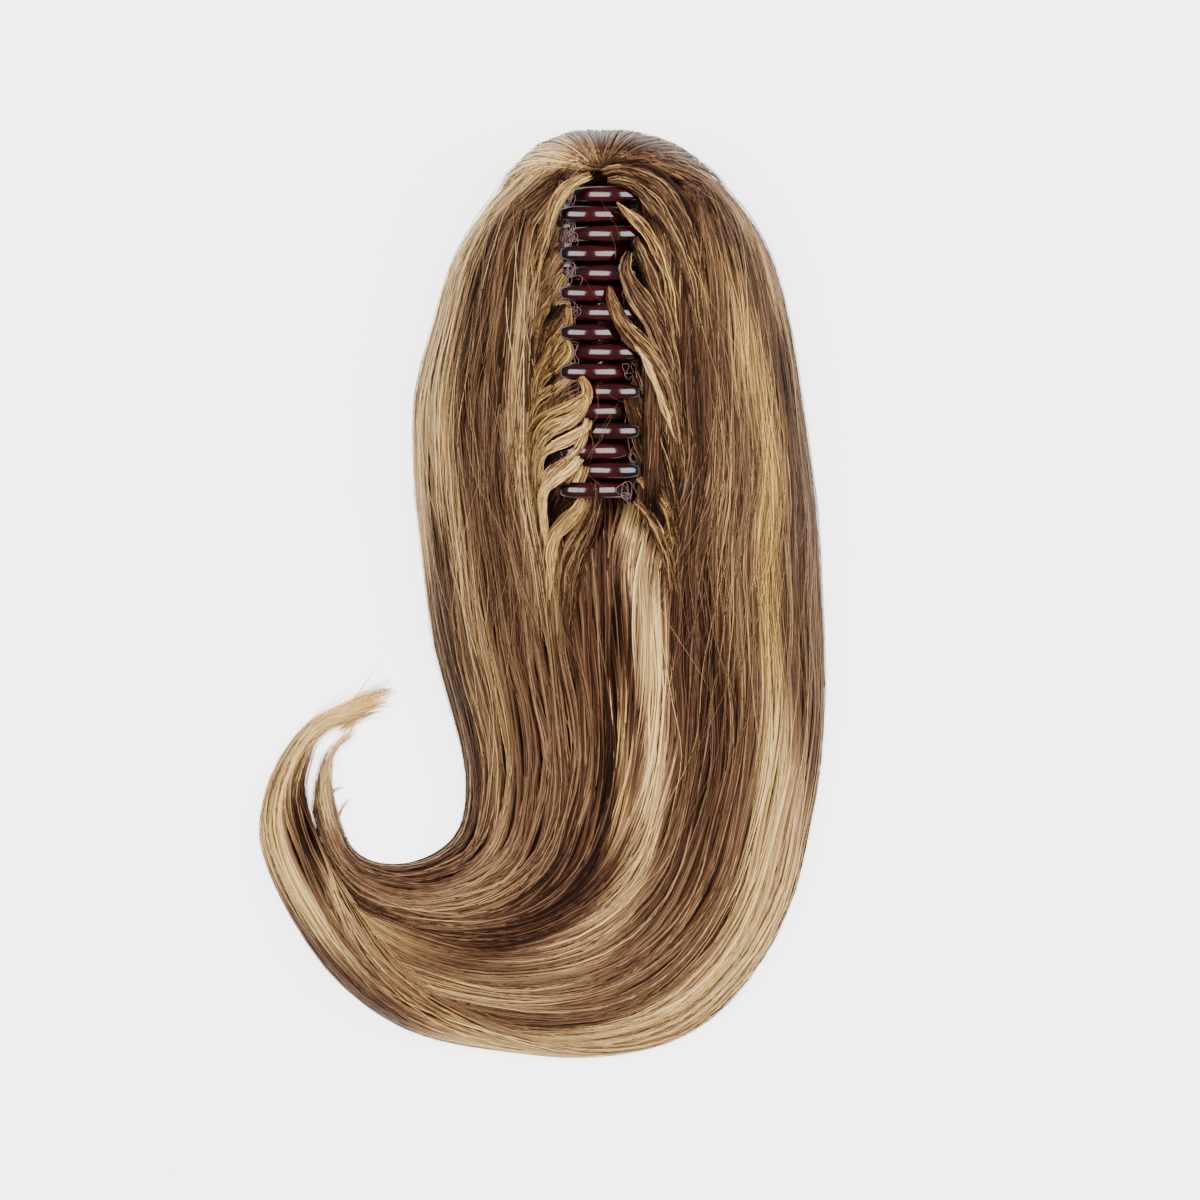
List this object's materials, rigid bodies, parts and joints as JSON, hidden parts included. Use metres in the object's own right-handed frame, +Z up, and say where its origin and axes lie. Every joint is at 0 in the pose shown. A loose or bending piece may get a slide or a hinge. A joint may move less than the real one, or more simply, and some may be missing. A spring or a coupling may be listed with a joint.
{
  "type": "claw-clip ponytail hairpiece",
  "caption": "Ponytail hairpiece on a long hair claw with interleaved teeth, its highlighted hair swept down into one curl.",
  "frame": {"origin": "on the flat underside of the hair, straight below the middle of the claw", "axes": "+Z up through the closed teeth, away from the surface it lies on; +Y along the claw towards the crown, away from the tail; +X to the right as seen from above"},
  "size_m": [0.2055, 0.337, 0.0598],
  "materials": {
    "tortoise_plastic": "polished dark red-brown plastic, slightly translucent",
    "spring_steel": "plain spring steel",
    "crochet_net": "fine matt crocheted thread",
    "light_brown_hair": "smooth straight fibre, brown with blonde highlights",
    "brown_hair": "smooth straight brown fibre"
  },
  "bodies": {
    "hairpiece": {"jaw_left": "tortoise_plastic", "hinge_pin": "spring_steel", "hinge_spring": "spring_steel", "net_left": "crochet_net", "hair_left": "light_brown_hair", "hair_right": "light_brown_hair", "hair_back": "brown_hair", "hair_beside_jaw": "brown_hair"},
    "right_jaw": {"jaw_right": "tortoise_plastic", "net_right": "crochet_net"}
  },
  "joints": [
    {"name": "jaw_hinge", "type": "hinge", "parent": "hairpiece", "child": "right_jaw", "pos_m": [0, 0, 0.02583], "axis": [0, 1, 0], "range_deg": [0, 45], "stiffness_Nm_per_rad": 0.1, "springref_deg": -57.3, "deforming": ["hinge_spring", "hair_beside_jaw"]}
  ]
}
